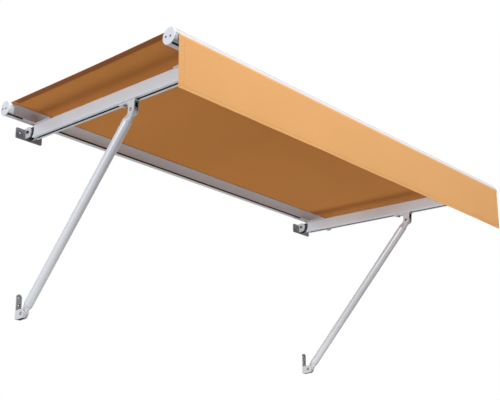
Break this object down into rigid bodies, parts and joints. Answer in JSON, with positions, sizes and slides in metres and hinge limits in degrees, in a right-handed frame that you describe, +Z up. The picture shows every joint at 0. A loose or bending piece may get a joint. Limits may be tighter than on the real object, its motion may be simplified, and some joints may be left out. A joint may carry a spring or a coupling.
{
  "type": "fabric awning",
  "caption": "Wall awning with a fixed frame: orange fabric stretched between two round bars on sloping arms, a straight front valance and two diagonal round struts.",
  "frame": {"origin": "on the wall plane, midway between the two arms, at the height of the wall bolts", "axes": "+X across the awning, +Y into the wall (the awning comes forward along -Y), +Z up"},
  "size_m": [2.0936, 1.1295, 0.8873],
  "materials": {
    "silver_coat": "satin light silver coat",
    "cast_silver": "painted casting, silver grey",
    "cap_plastic": "moulded, pale grey",
    "zinc_steel": "zinc plated",
    "awning_cloth": "woven awning cloth, light orange",
    "keder_cord": "plain"
  },
  "bodies": {
    "wall_fixings": {"wall_bracket_left": "cast_silver", "wall_bracket_right": "cast_silver", "wall_pivot_bolt_left": "zinc_steel", "wall_pivot_bolt_right": "zinc_steel", "wall_pivot_nut_left": "zinc_steel", "wall_pivot_nut_right": "zinc_steel", "foot_bracket_left": "cast_silver", "foot_bracket_right": "cast_silver", "foot_pin_left": "zinc_steel", "foot_pin_right": "zinc_steel"},
    "canopy": {"rear_bar": "silver_coat", "front_bar": "silver_coat", "fabric": "awning_cloth", "valance": "awning_cloth", "keder_rear": "keder_cord", "keder_front": "keder_cord", "keder_valance": "keder_cord", "rear_bar_cap_left": "cap_plastic", "rear_bar_cap_right": "cap_plastic", "front_bar_cap_left": "cap_plastic", "front_bar_cap_right": "cap_plastic", "rear_cap_screw_inner_left": "zinc_steel", "rear_cap_screw_outer_left": "zinc_steel", "rear_cap_screw_inner_right": "zinc_steel", "rear_cap_screw_outer_right": "zinc_steel", "front_cap_screw_inner_left": "zinc_steel", "front_cap_screw_outer_left": "zinc_steel", "front_cap_screw_inner_right": "zinc_steel", "front_cap_screw_outer_right": "zinc_steel", "arm_left": "silver_coat", "arm_right": "silver_coat", "arm_knuckle_left": "cast_silver", "arm_knuckle_right": "cast_silver", "arm_end_cap_left": "cap_plastic", "arm_end_cap_right": "cap_plastic", "rear_clamp_left": "cast_silver", "rear_clamp_right": "cast_silver", "front_clamp_left": "cast_silver", "front_clamp_right": "cast_silver", "rear_clamp_screw_left": "zinc_steel", "rear_clamp_screw_right": "zinc_steel", "front_clamp_screw_left": "zinc_steel", "front_clamp_screw_right": "zinc_steel"},
    "left_fork": {"strut_bracket_left": "cast_silver", "slot_nut_left": "zinc_steel", "clamp_bolt_left": "zinc_steel", "top_pin_left": "zinc_steel"},
    "right_fork": {"strut_bracket_right": "cast_silver", "slot_nut_right": "zinc_steel", "clamp_bolt_right": "zinc_steel", "top_pin_right": "zinc_steel"},
    "left_strut": {"strut_tube_left": "silver_coat", "strut_top_fitting_left": "cast_silver", "strut_foot_fitting_left": "cast_silver"},
    "right_strut": {"strut_tube_right": "silver_coat", "strut_top_fitting_right": "cast_silver", "strut_foot_fitting_right": "cast_silver"}
  },
  "joints": [
    {"name": "canopy_pitch", "type": "hinge", "parent": "wall_fixings", "child": "canopy", "pos_m": [0, -0.024, 0], "axis": [1, 0, 0], "range_deg": [-2, 6]},
    {"name": "left_fork_slide", "type": "slide", "parent": "canopy", "child": "left_fork", "axis": [0, -0.9966, -0.083], "range_m": [-0.033, 0.097]},
    {"name": "right_fork_slide", "type": "slide", "parent": "canopy", "child": "right_fork", "axis": [0, -0.9966, -0.083], "range_m": [-0.033, 0.097]},
    {"name": "left_strut_foot", "type": "hinge", "parent": "wall_fixings", "child": "left_strut", "pos_m": [-0.88, -0.042, -0.792], "axis": [1, 0, 0], "range_deg": [-2.6, 7.4]},
    {"name": "right_strut_foot", "type": "hinge", "parent": "wall_fixings", "child": "right_strut", "pos_m": [0.88, -0.042, -0.792], "axis": [1, 0, 0], "range_deg": [-2.6, 7.4]}
  ],
  "couplings": [
    {"joint": "left_fork_slide", "follows": "canopy_pitch", "m_per_rad": 0.9131},
    {"joint": "right_fork_slide", "follows": "canopy_pitch", "m_per_rad": 0.9131},
    {"joint": "left_strut_foot", "follows": "canopy_pitch", "ratio": 1.1812},
    {"joint": "right_strut_foot", "follows": "canopy_pitch", "ratio": 1.1812}
  ]
}
